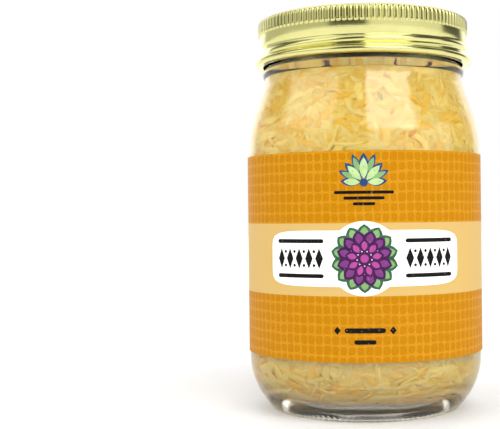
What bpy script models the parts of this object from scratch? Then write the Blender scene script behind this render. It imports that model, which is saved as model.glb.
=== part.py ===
"""A shut glass jar of sauerkraut with a gold metal screw lid and a paper label wrapped round it.

The jar stands on the XY plane with its axis on Z, and the front of the label faces -Y.
Lengths are in metres.
"""

import math
import random

import bmesh
import bpy
from mathutils import Matrix, Vector

NAME = "sauerkraut_jar"

# Glass jar: outer form, from the floor up
JAR_STEPS = 48
BODY_RADIUS = 0.04025
WALL = 0.0028
PUSH_UP_HEIGHT = 0.0022
PUSH_UP_EDGE_HEIGHT = 0.0015
PUSH_UP_RADIUS = 0.0268
BEARING_INNER_RADIUS = 0.0296
HEEL_RADIUS = 0.0255
HEEL_TOP = 0.0188
HEEL_EDGE_RADIUS = 0.0012
SHOULDER_START = 0.0875
SHOULDER_RADIUS = 0.0400
SHOULDER_SLOPE = math.radians(19.0)
NECK_RADIUS = 0.0341
NECK_FILLET = 0.0100
BEAD_Z = 0.1153
BEAD_RADIUS = 0.0351
BEAD_HALF_HEIGHT = 0.0014
BEAD_HALF_TURN = math.radians(64.0)
FINISH_RADIUS = 0.0338
RIM_Z = 0.1327
RIM_ROUND = 0.0010

# Glass jar: inner form
FLOOR_Z = 0.0052
FLOOR_CROWN = 0.0008
INNER_HEEL_RADIUS = 0.0200
INNER_HEEL_TURN = math.radians(78.0)
MOUTH_RADIUS = 0.0308

# Lid: one piece of sheet metal, turned, with a knurled band, a rolled thread and a curled edge
LID_STEPS = 60
LID_TOP = 0.1336
LID_SHEET = 0.0006
LID_PANEL_RADIUS = 0.0292
LID_PANEL_DROP = 0.0009
LID_STEP_WIDTH = 0.0013
LID_EDGE_ROUND = 0.0016
KNURL_RADIUS = 0.0364
KNURL_BOTTOM = 0.1282
KNURL_COUNT = 120
KNURL_GROOVE_TOP_RADIUS = 0.00038
KNURL_GROOVE_BOTTOM_RADIUS = 0.00050
KNURL_GROOVE_INSET = 0.00008
BAND_RADIUS = 0.0359
BAND_BOTTOM = 0.1240
WAIST_RADIUS = 0.0355
WAIST_BOTTOM = 0.1203
CURL_RADIUS = 0.0377
CURL_Z = 0.1190
CURL_HALF_HEIGHT = 0.0011
CURL_END = math.radians(100.0)
THREAD_Z = 0.1224
THREAD_PITCH = 0.00508
THREAD_START = math.radians(-70.0)
THREAD_END = math.radians(240.0)
THREAD_HALF_WIDTH = 0.0015
THREAD_PROUD = 0.00065
THREAD_POINTS = 36
THREAD_TIP_SCALE = 0.3
THREAD_RUN_OUT = 0.09

# Label
LABEL_GAP = 0.00025
LABEL_THICKNESS = 0.00015
LABEL_BOTTOM = 0.0202
LABEL_TOP = 0.0866
LABEL_OPENING_STEPS = 2

# Edges sharper than these are left unsmoothed
GLASS_SHARP = math.radians(35.0)
LID_SHARP = math.radians(30.0)
PAPER_SHARP = math.radians(35.0)
FOOD_SHARP = math.radians(40.0)

# Sauerkraut: a core with the shreds that lie against the glass
HEAP_GAP = 0.0005
CORE_STEPS = 24
CORE_INSET = 0.0013
CORE_UNEVEN = 0.0005
FILL_Z = 0.1172
SHRED_LOWEST = FLOOR_Z + 0.0028
SHRED_HIGHEST = FILL_Z - 0.0012
SHRED_THICKNESS = 0.0024
SHRED_LAYERS = 4
SHRED_LAYER_DEPTH = 0.00014
SHRED_WIDTHS = (0.0017, 0.0032)
SHRED_LENGTHS = (0.011, 0.021)
SHRED_FULLNESS = 1.1
SHRED_BOW = 0.0015
SHRED_SLANT = math.radians(50.0)
SHRED_CELLS = 3
SHRED_SEED = 16
UPPER_SHREDS = 42
LOWER_SHREDS = 30
BACK_SHREDS = 5
BACK_SPREAD = 0.1


def clear_scene():
    for old in list(bpy.data.objects):
        bpy.data.objects.remove(old, do_unlink=True)


def new_collection(name):
    collection = bpy.data.collections.new(name)
    bpy.context.scene.collection.children.link(collection)
    return collection


def material(name, colour, roughness, metallic=0.0, transmission=0.0):
    made = bpy.data.materials.new(name)
    made.use_nodes = True
    shader = made.node_tree.nodes["Principled BSDF"]
    shader.inputs["Base Color"].default_value = (*colour, 1.0)
    shader.inputs["Roughness"].default_value = roughness
    shader.inputs["Metallic"].default_value = metallic
    shader.inputs["Transmission Weight"].default_value = transmission
    return made


def add_object(name, mesh, collection, finish=None):
    obj = bpy.data.objects.new(name, mesh)
    collection.objects.link(obj)
    if finish is not None:
        mesh.materials.append(finish)
    return obj


def arc(centre, radius, start, end, count):
    """Points (r, z) along a round stretch; angles in radians from +r towards +z."""
    points = []
    for i in range(count + 1):
        angle = start + (end - start) * i / count
        points.append((centre[0] + radius * math.cos(angle), centre[1] + radius * math.sin(angle)))
    return points


def turned(name, profile, steps, collection, finish):
    """A closed solid turned round Z from a profile that starts and ends on the axis."""
    mesh = bpy.data.meshes.new(name)
    points = [(r, 0.0, z) for r, z in profile]
    mesh.from_pydata(points, [(i, i + 1) for i in range(len(points) - 1)], [])
    obj = add_object(name, mesh, collection, finish)
    screw = obj.modifiers.new("Turn", "SCREW")
    screw.axis = "Z"
    screw.angle = 2.0 * math.pi
    screw.steps = steps
    screw.render_steps = steps
    screw.use_merge_vertices = True
    screw.merge_threshold = 0.00001
    screw.use_smooth_shade = True
    return obj


def apply_modifiers(obj):
    """Replaces the object's mesh by the evaluated one."""
    graph = bpy.context.evaluated_depsgraph_get()
    graph.update()
    made = bpy.data.meshes.new_from_object(obj.evaluated_get(graph))
    made.name = obj.name
    obj.modifiers.clear()
    obj.data = made


def combine(obj, others, operation, solver="EXACT"):
    """One Boolean with a whole collection, applied, after which the collection's objects are removed."""
    apply_modifiers(obj)
    boolean = obj.modifiers.new(operation.title(), "BOOLEAN")
    boolean.operation = operation
    boolean.operand_type = "COLLECTION"
    boolean.collection = others
    boolean.solver = solver
    apply_modifiers(obj)
    for used in list(others.objects):
        bpy.data.objects.remove(used, do_unlink=True)
    bpy.data.collections.remove(others)


def keep_largest_surface(obj):
    """Drops loose scraps and fills sealed hollows: each is a small surface apart from the main one."""
    shape = bmesh.new()
    shape.from_mesh(obj.data)
    unseen = set(shape.faces)
    surfaces = []
    while unseen:
        surface = [unseen.pop()]
        for face in surface:
            near = {other for edge in face.edges for other in edge.link_faces} & unseen
            unseen -= near
            surface.extend(near)
        surfaces.append(surface)
    surfaces.sort(key=len)
    for surface in surfaces[:-1]:
        bmesh.ops.delete(shape, geom=surface, context="FACES")
    shape.to_mesh(obj.data)
    shape.free()


def shade(obj, sharp_angle):
    obj.data.shade_smooth()
    obj.data.set_sharp_from_angle(angle=sharp_angle)


def shoulder_profile(offset, top, cells=3):
    """The outer shoulder from the neck down to the body, moved inwards by offset."""
    slope = SHOULDER_SLOPE
    round_centre = (BODY_RADIUS - SHOULDER_RADIUS, SHOULDER_START)
    round_end = arc(round_centre, SHOULDER_RADIUS, slope, slope, 1)[0]
    fillet_centre_r = NECK_RADIUS + NECK_FILLET
    fillet_r = fillet_centre_r - NECK_FILLET * math.cos(slope)
    fillet_z = round_end[1] + (round_end[0] - fillet_r) / math.tan(slope)
    fillet_centre = (fillet_centre_r, fillet_z + NECK_FILLET * math.sin(slope))
    points = [(NECK_RADIUS - offset, top)]
    points += arc(fillet_centre, NECK_FILLET + offset, math.pi, math.pi + slope, cells - 1)
    points += arc(round_centre, SHOULDER_RADIUS - offset, slope, 0.0, cells)
    return points


def inner_profile(offset=0.0, top=RIM_Z):
    """The inner wall from the mouth down to the floor, moved inwards by offset."""
    heel = INNER_HEEL_RADIUS - offset
    heel_centre = (BODY_RADIUS - WALL - INNER_HEEL_RADIUS, FLOOR_Z + INNER_HEEL_RADIUS)
    points = [(MOUTH_RADIUS - offset, top)] if top > BEAD_Z + BEAD_HALF_HEIGHT else []
    points += shoulder_profile(WALL + offset, min(top, BEAD_Z), 2)
    points += arc(heel_centre, heel, 0.0, -INNER_HEEL_TURN, 4)
    points.append((0.0, FLOOR_Z + FLOOR_CROWN + offset))
    return points


def inner_radius(height):
    """Radius of the inner wall at a height."""
    points = inner_profile()
    for (r_high, z_high), (r_low, z_low) in zip(points, points[1:]):
        if z_low <= height <= z_high and z_high > z_low:
            return r_low + (r_high - r_low) * (height - z_low) / (z_high - z_low)
    return MOUTH_RADIUS


def glass_jar(collection):
    rim_inner = (MOUTH_RADIUS + RIM_ROUND, RIM_Z - RIM_ROUND)
    rim_outer = (FINISH_RADIUS - RIM_ROUND, RIM_Z - RIM_ROUND)
    heel_centre = (BODY_RADIUS - HEEL_RADIUS, HEEL_TOP)
    inner_reach = HEEL_RADIUS - HEEL_EDGE_RADIUS
    heel_end = -math.asin((HEEL_TOP - HEEL_EDGE_RADIUS) / inner_reach)
    edge_centre = arc(heel_centre, inner_reach, heel_end, heel_end, 1)[0]
    bead_bulge = BEAD_RADIUS - NECK_RADIUS
    inside = inner_profile(top=RIM_Z - RIM_ROUND)
    profile = inside[::-1]
    profile += arc(rim_inner, RIM_ROUND, math.pi, math.pi / 2, 1)[1:]
    profile += arc(rim_outer, RIM_ROUND, math.pi / 2, 0.0, 2)
    profile.append((FINISH_RADIUS, BEAD_Z + BEAD_HALF_HEIGHT))
    for r, z in arc((0.0, 0.0), 1.0, BEAD_HALF_TURN, -BEAD_HALF_TURN, 3):
        profile.append((NECK_RADIUS + bead_bulge * r, BEAD_Z + BEAD_HALF_HEIGHT * z))
    profile += shoulder_profile(0.0, BEAD_Z - BEAD_HALF_HEIGHT, 4)[1:]
    profile += arc(heel_centre, HEEL_RADIUS, 0.0, heel_end, 5)
    profile += arc(edge_centre, HEEL_EDGE_RADIUS, heel_end, -math.pi / 2, 2)[1:]
    profile.append((BEARING_INNER_RADIUS, 0.0))
    profile.append((PUSH_UP_RADIUS, PUSH_UP_EDGE_HEIGHT))
    profile.append((0.0, PUSH_UP_HEIGHT))
    finish = material("clear_glass", (0.93, 0.96, 0.93), 0.03, transmission=1.0)
    jar = turned("jar", profile, JAR_STEPS, collection, finish)
    shade(jar, GLASS_SHARP)
    return jar


def lid_profile():
    """The lid's sheet metal: its underside from the axis to the curl, then its outside back to the axis."""
    roof = LID_TOP - LID_PANEL_DROP - LID_SHEET
    ring_roof = LID_TOP - LID_SHEET
    inside_r = WAIST_RADIUS - LID_SHEET
    step = LID_PANEL_RADIUS + LID_STEP_WIDTH
    edge = (KNURL_RADIUS - LID_EDGE_ROUND, LID_TOP - LID_EDGE_ROUND)
    underside = [(0.0, roof), (LID_PANEL_RADIUS, roof), (step, ring_roof)]
    underside += [(inside_r - LID_SHEET, ring_roof), (inside_r, ring_roof - LID_EDGE_ROUND)]
    underside += [(inside_r, CURL_Z - CURL_HALF_HEIGHT)]
    curl_centre = (CURL_RADIUS - CURL_HALF_HEIGHT, CURL_Z)
    curl = arc(curl_centre, CURL_HALF_HEIGHT, -math.pi / 2, CURL_END, 4)
    outside = [(WAIST_RADIUS, WAIST_BOTTOM), (WAIST_RADIUS, BAND_BOTTOM - LID_SHEET)]
    outside += [(BAND_RADIUS, BAND_BOTTOM), (BAND_RADIUS, KNURL_BOTTOM - LID_SHEET)]
    outside += [(KNURL_RADIUS, KNURL_BOTTOM)]
    outside += arc(edge, LID_EDGE_ROUND, 0.0, math.pi / 2, 2)
    outside += [(step, LID_TOP), (LID_PANEL_RADIUS, LID_TOP - LID_PANEL_DROP)]
    outside += [(0.0, LID_TOP - LID_PANEL_DROP)]
    return underside + curl + outside


def thread_section(collection):
    """The thread roll's section: half an ellipse outside, closed by a straight side inside the sheet."""
    section = bpy.data.curves.new("thread_section", "CURVE")
    section.dimensions = "2D"
    line = section.splines.new("POLY")
    outline = [(-LID_SHEET / 2, -THREAD_HALF_WIDTH), (-LID_SHEET / 2, THREAD_HALF_WIDTH)]
    for out, up in arc((0.0, 0.0), 1.0, math.pi / 2, -math.pi / 2, 4)[1:-1]:
        outline.append((THREAD_PROUD * out, THREAD_HALF_WIDTH * up))
    line.points.add(len(outline) - 1)
    for point, (out, up) in zip(line.points, outline):
        point.co = (out, up, 0.0, 1.0)
    line.use_cyclic_u = True
    return add_object("thread_section", section, collection)


def thread_roll(collection):
    """The rolled thread: a low rib along a helix on the waist, which fades out at its two ends."""
    section = thread_section(collection)
    curve = bpy.data.curves.new("thread_roll", "CURVE")
    curve.dimensions = "3D"
    curve.twist_mode = "Z_UP"
    curve.bevel_mode = "OBJECT"
    curve.bevel_object = section
    curve.use_fill_caps = True
    line = curve.splines.new("POLY")
    line.points.add(THREAD_POINTS - 1)
    for i, point in enumerate(line.points):
        share = i / (THREAD_POINTS - 1)
        turn = THREAD_START + (THREAD_END - THREAD_START) * share
        height = THREAD_Z + THREAD_PITCH * turn / (2.0 * math.pi)
        point.co = (WAIST_RADIUS * math.sin(turn), -WAIST_RADIUS * math.cos(turn), height, 1.0)
        faded = min(1.0, share / THREAD_RUN_OUT, (1.0 - share) / THREAD_RUN_OUT)
        point.radius = THREAD_TIP_SCALE + (1.0 - THREAD_TIP_SCALE) * faded
    guide = add_object("thread_guide", curve, collection)
    graph = bpy.context.evaluated_depsgraph_get()
    mesh = bpy.data.meshes.new_from_object(guide.evaluated_get(graph))
    bpy.data.objects.remove(guide, do_unlink=True)
    bpy.data.objects.remove(section, do_unlink=True)
    shape = bmesh.new()
    shape.from_mesh(mesh)
    bmesh.ops.remove_doubles(shape, verts=shape.verts, dist=0.00001)
    bmesh.ops.recalc_face_normals(shape, faces=shape.faces)
    shape.to_mesh(mesh)
    shape.free()
    return add_object("thread_roll", mesh, collection)


def knurl_grooves(collection):
    """The narrow upright grooves between the fingers of the knurled band."""
    depth = LID_TOP - KNURL_BOTTOM
    shape = bmesh.new()
    bmesh.ops.create_cone(
        shape,
        cap_ends=True,
        segments=4,
        radius1=KNURL_GROOVE_BOTTOM_RADIUS,
        radius2=KNURL_GROOVE_TOP_RADIUS,
        depth=depth,
    )
    mesh = bpy.data.meshes.new("knurl_groove")
    shape.to_mesh(mesh)
    shape.free()
    for i in range(KNURL_COUNT):
        angle = 2.0 * math.pi * (i + 0.5) / KNURL_COUNT
        groove = add_object(f"knurl_groove_{i}", mesh, collection)
        reach = KNURL_RADIUS - KNURL_GROOVE_INSET
        middle = Vector((reach, 0.0, KNURL_BOTTOM + depth / 2 + LID_SHEET / 2))
        groove.matrix_world = Matrix.Rotation(angle, 4, "Z") @ Matrix.Translation(middle)


def screw_lid(collection):
    finish = material("gold_lid", (0.72, 0.66, 0.30), 0.22, metallic=1.0)
    lid = turned("lid", lid_profile(), LID_STEPS, collection, finish)
    rolls = new_collection("lid_rolls")
    thread_roll(rolls)
    combine(lid, rolls, "UNION")
    grooves = new_collection("lid_grooves")
    knurl_grooves(grooves)
    combine(lid, grooves, "DIFFERENCE")
    shade(lid, LID_SHARP)
    return lid


def wrap_label(collection):
    """A paper strip round the body, whose two ends leave a narrow opening at the back."""
    radius = BODY_RADIUS + LABEL_GAP
    strip = bmesh.new()
    count = JAR_STEPS - LABEL_OPENING_STEPS
    start = math.pi / 2 + math.pi * LABEL_OPENING_STEPS / JAR_STEPS
    bmesh.ops.create_grid(strip, x_segments=count, y_segments=1, size=0.5)
    for vert in strip.verts:
        turn = start + (vert.co.x + 0.5) * 2.0 * math.pi * count / JAR_STEPS
        height = LABEL_BOTTOM + (vert.co.y + 0.5) * (LABEL_TOP - LABEL_BOTTOM)
        vert.co = (radius * math.cos(turn), radius * math.sin(turn), height)
    mesh = bpy.data.meshes.new("label")
    strip.to_mesh(mesh)
    strip.free()
    finish = material("label_paper", (0.76, 0.38, 0.02), 0.45)
    label = add_object("label", mesh, collection, finish)
    paper = label.modifiers.new("Paper", "SOLIDIFY")
    paper.thickness = LABEL_THICKNESS
    paper.offset = 1.0
    shade(label, PAPER_SHARP)
    return label


def shred(name, turn, height, heading, length, width, bow, depth, collection):
    """One strip of cabbage that follows the inner wall and dives into the core at both ends."""
    strip = bmesh.new()
    bmesh.ops.create_grid(strip, x_segments=SHRED_CELLS, y_segments=1, size=0.5)
    for vert in strip.verts:
        tip = 2.0 * vert.co.x
        along = vert.co.x * (1.0 + SHRED_FULLNESS * (1.0 - tip**2)) * length
        across = vert.co.y * width * (1.0 - tip**4) + bow * tip**2
        side = along * math.cos(heading) - across * math.sin(heading)
        rise = along * math.sin(heading) + across * math.cos(heading)
        z = min(max(height + rise, SHRED_LOWEST), SHRED_HIGHEST)
        dive = CORE_INSET * tip**4
        radius = inner_radius(z) - HEAP_GAP - depth - dive
        place = turn + side / radius
        vert.co = (radius * math.sin(place), -radius * math.cos(place), z)
    bmesh.ops.remove_doubles(strip, verts=strip.verts, dist=0.00001)
    mesh = bpy.data.meshes.new(name)
    strip.to_mesh(mesh)
    strip.free()
    obj = add_object(name, mesh, collection)
    body = obj.modifiers.new("Strip", "SOLIDIFY")
    body.thickness = SHRED_THICKNESS
    body.offset = -1.0
    apply_modifiers(obj)
    return obj


def shreds(collection):
    """Shreds in the two bands that the label leaves open, and in the opening at its back."""
    draw = random.Random(SHRED_SEED)
    reach = SHRED_WIDTHS[1]
    golden = (math.sqrt(5.0) - 1.0) / 2.0
    bands = (
        ("upper", UPPER_SHREDS, LABEL_TOP, SHRED_HIGHEST - reach, 0.0, 2.0 * math.pi),
        ("lower", LOWER_SHREDS, SHRED_LOWEST + reach, LABEL_BOTTOM, 0.0, 2.0 * math.pi),
        ("back", BACK_SHREDS, LABEL_BOTTOM + reach, LABEL_TOP - reach, math.pi, BACK_SPREAD),
    )
    for band, count, low, high, middle, spread in bands:
        for i in range(count):
            height = low + (high - low) * (i * golden % 1.0)
            turn = middle + spread * (i / count - 0.5)
            heading = draw.uniform(-SHRED_SLANT, SHRED_SLANT)
            length = draw.uniform(*SHRED_LENGTHS)
            width = draw.uniform(*SHRED_WIDTHS)
            bow = draw.uniform(-SHRED_BOW, SHRED_BOW)
            depth = SHRED_LAYER_DEPTH * (i % SHRED_LAYERS)
            name = f"shred_{band}_{i}"
            shred(name, turn, height, heading, length, width, bow, depth, collection)


def heap(collection):
    draw = random.Random(SHRED_SEED + 1)
    offset = HEAP_GAP + CORE_INSET
    profile = [(0.0, FILL_Z)] + inner_profile(offset, FILL_Z)
    finish = material("cabbage", (0.72, 0.50, 0.19), 0.5)
    core = turned("sauerkraut", profile, CORE_STEPS, collection, finish)
    apply_modifiers(core)
    for vert in core.data.vertices:
        sunk = draw.uniform(0.0, CORE_UNEVEN)
        flat = Vector((vert.co.x, vert.co.y, 0.0))
        if flat.length > offset:
            vert.co -= flat.normalized() * sunk
    pieces = new_collection("cabbage_shreds")
    shreds(pieces)
    combine(core, pieces, "UNION", "MANIFOLD")
    keep_largest_surface(core)
    shade(core, FOOD_SHARP)
    return core


def main():
    clear_scene()
    collection = new_collection(NAME)
    glass_jar(collection)
    screw_lid(collection)
    wrap_label(collection)
    heap(collection)


main()
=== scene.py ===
"""Looks of a shut glass jar of sauerkraut: clear glass, brine and shreds, a gold screw lid and a wrap label.

Lengths are in metres and Z is up. A turn of 0 is the front of the label, at -Y, and turns grow towards +X.
"""

import math
import random

import bmesh
import bpy
import numpy as np
from mathutils import Matrix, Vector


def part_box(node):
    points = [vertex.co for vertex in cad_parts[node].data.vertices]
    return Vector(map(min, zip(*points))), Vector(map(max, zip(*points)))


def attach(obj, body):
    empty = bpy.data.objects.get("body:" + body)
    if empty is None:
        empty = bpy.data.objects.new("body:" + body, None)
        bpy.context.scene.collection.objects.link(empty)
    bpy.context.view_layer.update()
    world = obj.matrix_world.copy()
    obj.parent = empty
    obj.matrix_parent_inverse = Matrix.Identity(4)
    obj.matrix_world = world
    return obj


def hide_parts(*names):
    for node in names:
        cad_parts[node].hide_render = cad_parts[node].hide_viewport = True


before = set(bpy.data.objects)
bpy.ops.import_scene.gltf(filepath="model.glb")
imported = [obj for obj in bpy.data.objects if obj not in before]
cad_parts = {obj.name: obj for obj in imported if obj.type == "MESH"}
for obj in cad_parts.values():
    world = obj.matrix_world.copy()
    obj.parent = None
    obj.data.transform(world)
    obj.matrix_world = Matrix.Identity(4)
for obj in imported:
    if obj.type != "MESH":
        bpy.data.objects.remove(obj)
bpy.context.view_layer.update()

FULL_TURN = 2.0 * math.pi
GOLDEN_SHARE = (math.sqrt(5.0) - 1.0) / 2.0
ON_AXIS = 1e-6

# Driving sizes, read from the frame
JAR_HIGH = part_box("jar")[1]
LID_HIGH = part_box("lid")[1]
LABEL_LOW, LABEL_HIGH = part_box("label")
HEAP_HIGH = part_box("sauerkraut")[1]

# Glass jar: outer form
BODY_RADIUS = JAR_HIGH.x
RIM_Z = JAR_HIGH.z
WALL = 0.0028
PUSH_UP_HEIGHT = 0.0022
PUSH_UP_EDGE_HEIGHT = 0.0015
PUSH_UP_RADIUS = 0.0268
BEARING_INNER_RADIUS = 0.0296
HEEL_RADIUS = 0.0255
HEEL_TOP = 0.0188
HEEL_EDGE_RADIUS = 0.0012
SHOULDER_START = 0.0875
SHOULDER_RADIUS = 0.0400
SHOULDER_SLOPE = math.radians(19.0)
NECK_RADIUS = 0.0341
NECK_FILLET = 0.0100
BEAD_Z = 0.1153
BEAD_RADIUS = 0.0351
BEAD_HALF_HEIGHT = 0.0014
FINISH_RADIUS = 0.0338
RIM_ROUND = 0.0010
STIPPLE_COUNT = 110
STIPPLE_STEPS = 4
STIPPLE_DEPTH = 0.00022
STIPPLE_TOP = 0.0022
STIPPLE_FOOT = 0.0006

# Glass jar: inner form
FLOOR_Z = 0.0052
FLOOR_CROWN = 0.0008
INNER_HEEL_RADIUS = 0.0200
INNER_HEEL_TURN = math.radians(78.0)
MOUTH_RADIUS = 0.0308

# Lid: BEND is the unit of the small steps where the sheet bends
BEND = 0.0001
FINGER_COUNT = 120
FINGER_COLUMNS = (-0.5, -0.43, -0.37, -0.22, 0.0, 0.22, 0.37, 0.43)
FINGER_ROWS = (0.0, 0.00008, 0.00018, 0.0003, 0.00045, 0.00065, 0.0009, 0.0014, 0.0026)
FINGER_RADIUS = 0.0364
FINGER_HEIGHT = 0.00048
FINGER_HALF_WIDTH = 0.00078
FINGER_EDGE = 0.00020
FINGER_BOTTOM = 0.1282
LID_SHEET = 0.0006
LID_EDGE_ROUND = 0.0012
PANEL_RADIUS = 0.0292
PANEL_DROP = 0.0009
PANEL_STEP = 0.0013
BAND_RADIUS = 0.0359
BAND_BOTTOM = 0.1248
WAIST_RADIUS = 0.0354
WAIST_TOP = 0.1240
WAIST_BOTTOM = 0.1200
WAIST_CELLS = 16
CURL_RADIUS = 0.0377
CURL_Z = 0.1190
CURL_HALF_HEIGHT = 0.0011
CURL_END = math.radians(80.0)
THREAD_Z = 0.1223
THREAD_PITCH = 0.00508
THREAD_START = math.radians(-70.0)
THREAD_END = math.radians(250.0)
THREAD_FADE = math.radians(14.0)
THREAD_HALF_WIDTH = 0.0015
THREAD_PROUD = 0.0008
THREAD_SHARPNESS = 1.2

# Label paper: it lies a little under the solid's face, which leaves room for the print
PRINT_ROOM = 0.00012
LABEL_RADIUS = LABEL_HIGH.x - PRINT_ROOM
LABEL_THICKNESS = 0.00015
LABEL_BOTTOM = LABEL_LOW.z
LABEL_TOP = LABEL_HIGH.z
LABEL_OPENING = math.radians(15.0)
LABEL_STEPS = 240
BAND_LOW = 0.0410
BAND_HIGH = 0.0639
BAND_BLUR = 0.00004
CELL_WIDTH = 0.0027
CELL_HEIGHT = 0.0032
CELL_WOBBLE = 0.0009
CELL_POWER = 3.0
CELL_REACHES = (0.40, 0.47)
CELL_EDGE = (-0.02, 0.05)

# Label print: sizes and places of the ornaments
INK_LAYER = 0.00001
INK_THICKNESS = 0.000012
INK_STRIP = 0.0015
LEAF_POWER = 0.8
MEDALLION_Z = 0.0528
MEDALLION_RADIUS = 0.0117
MEDALLION_HALF_WIDTH = 0.0335
MEDALLION_HALF_HEIGHT = 0.0088
MEDALLION_POWER = 7.0
ROSETTE_HEART = 0.0022
ROSETTE_EYE = 0.0013
PETAL_INSET = 0.16
PETAL_INNER_WIDTH = 0.8
PETAL_INNER_SCALE = 0.68
FRIEZE_MIDDLE = 0.0218
FRIEZE_WIDTH = 0.0175
FRIEZE_BAR = 0.0013
FRIEZE_BAR_HEIGHT = 0.0055
FRIEZE_PITCH = 0.0036
FRIEZE_DIAMOND = (0.0027, 0.0066)
FRIEZE_DIAMONDS = 5
FRIEZE_DOT = 0.0005
FRIEZE_DOT_HEIGHT = 0.0022
FAN_Z = 0.0765
FAN_BERRY = 0.0013
FAN_DOT = 0.00015
FAN_DOT_PLACE = 0.0050
FAN_BAR = 0.0010
FOOTER_Z = 0.0285
FOOTER_RISE = 0.0018
FOOTER_UPPER = (0.0130, 0.0016)
FOOTER_LOWER = (0.0070, 0.0014)
FOOTER_DIAMOND = (0.0022, 0.0026)
FOOTER_DIAMOND_PLACE = 0.0088

# Contents: the brine, the core and the strips
BRINE_OVERLAP = 0.0001
FILL_Z = HEAP_HIGH.z
JAR_STEPS = 192
CORE_DEPTH = 0.0011
CORE_STEPS = 192
CORE_ROWS = 90
CORE_TOP_DROP = 0.0015
CORE_UNEVEN = 0.00006
CORE_WAVES = 14
CORE_WAVE_TURNS = (3, 22)
CORE_WAVE_RISES = (60.0, 420.0)
CORE_CALM_RADIUS = 0.02
CORE_LEAST_RADIUS = 0.001
SHRED_SEED = 23
UPPER_SHREDS = 2050
LOWER_SHREDS = 1500
FLOOR_SHREDS = 260
BACK_SHREDS = 330
BACK_SPREAD = 0.55
BAND_OVERLAP = 0.005
TOP_GAP = 0.001
FLOOR_STRETCH = (0.006, 0.022)
LOWER_START = 0.020
SHRED_LAYERS = 5
SHRED_LAYER_DEPTH = 0.00014
SHRED_LAYER_SPREAD = 0.8
SHRED_CELLS = 6
SHRED_SECTION = ((-0.5, 0.0), (-0.25, 0.5), (0.25, 0.5), (0.5, 0.0), (0.25, -0.5), (-0.25, -0.5))
SHRED_LENGTHS = (0.006, 0.016)
SHRED_WIDTHS = (0.0012, 0.0030)
SHRED_THICKNESSES = (0.0002, 0.0004)
SHRED_TURNING = 0.8
SHRED_BENDS = (-1.0, 1.0)
SHRED_SWINGS = (0.0, 0.5)
SHRED_WAVE = 7.0
SHRED_DIPS = (0.0, 0.0003)
SHRED_TILTS = (-0.0002, 0.0002)
SHRED_ROLL = 0.05
SHRED_TWISTS = (-0.12, 0.12)
SHRED_POINT = 0.12
SHRED_POINT_POWER = 5
LEAST_DEPTH = 0.0001
GLASS_CLEARANCE = 0.00008
LEAST_RADIUS = 0.004
FILL_CLEARANCE = 0.0004
CARROT_SIZE = (0.0040, 0.0014)
CARROT_FIRST = 7
CARROT_EVERY = 211
GREEN_SIZE = (0.0036, 0.0012)
GREEN_FIRST = 5
GREEN_EVERY = 149
AMBER_FIRST = 2
AMBER_EVERY = 11

# Colours of the contents
PALE = (0.985, 0.765, 0.27)
GOLDEN = (0.98, 0.70, 0.18)
AMBER = (0.96, 0.60, 0.09)
CARROT = (0.85, 0.36, 0.04)
GREEN = (0.42, 0.40, 0.10)
GOLDEN_POWER = 1.3
STRIP_LIGHTS = (0.92, 1.06)
BLOTCH = (0.95, 0.80, 0.50, 1.0)
FIBRE = (0.95, 0.90, 0.70, 1.0)
BRINE_COLOUR = (0.95, 0.74, 0.0, 1.0)
BRINE_DENSITY = 420.0
BRINE_INDEX = 1.34

# Colours and finish of the glass, the lid and the floor
GLASS_COLOUR = (0.985, 0.992, 0.985, 1.0)
GLASS_SHADOW = (0.97, 0.98, 0.97, 1.0)
GLASS_INDEX = 1.5
CLEAR = (1.0, 1.0, 1.0, 1.0)
CLEAR_FINISH = {"Roughness": 0.0, "Transmission Weight": 1.0}
LID_DARK = (0.75, 0.715, 0.28, 1.0)
LID_LIGHT = (0.81, 0.775, 0.33, 1.0)
LID_ROUGHNESS = (0.12, 0.22)
FLOOR_COLOUR = (0.94, 0.94, 0.94, 1.0)
FLOOR_SIZE = 6.0

# Grain of the materials: how fine each pattern is, as waves in a metre, and how it is stretched
GLASS_WAVES = 60.0
GLASS_STRETCH = (1.0, 1.0, 0.5)
CABBAGE_BLOTCHES = 220.0
CABBAGE_FIBRES = 900.0
LID_BRUSHING = 500.0
LID_BRUSHING_STRETCH = (0.25, 0.25, 6.0)
LID_SCRATCHES = 900.0
LID_SCRATCHES_STRETCH = (1.0, 0.2, 2.0)
LID_CLOUDS = 90.0
CELL_WAVES = 160.0
PAPER_GRAIN = 1500.0
PAPER_FIBRES = 2500.0
INK_WEAR = 1400.0
INK_MOTTLE = 500.0

# Colours of the label
CELL_DARK = (0.395, 0.156, 0.0005, 1.0)
CELL_LIGHT = (0.43, 0.178, 0.001, 1.0)
LINE_DARK = (0.47, 0.200, 0.004, 1.0)
LINE_LIGHT = (0.52, 0.235, 0.010, 1.0)
CREAM = (0.54, 0.362, 0.122, 1.0)
WHITE_PAPER = (0.97, 0.97, 0.95, 1.0)
WHITE_GRAIN = (0.90, 0.90, 0.88, 1.0)
INK_SHADE = (0.55, 0.55, 0.55, 1.0)
INK_WORN = (0.80, 0.78, 0.72, 1.0)
BLACK = (0.006, 0.005, 0.004)
WHITE = (0.95, 0.95, 0.93)
DARK_LEAF = (0.035, 0.11, 0.055)
LIGHT_LEAF = (0.20, 0.36, 0.14)
PALE_LEAF = (0.42, 0.58, 0.25)
DARK_PETAL = (0.055, 0.012, 0.07)
PURPLE = (0.17, 0.04, 0.18)
MAGENTA = (0.36, 0.06, 0.26)
INDIGO = (0.02, 0.06, 0.16)
PRINT_FINISH = {"Specular IOR Level": 0.08, "Coat Weight": 0.04, "Coat Roughness": 0.15}

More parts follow.
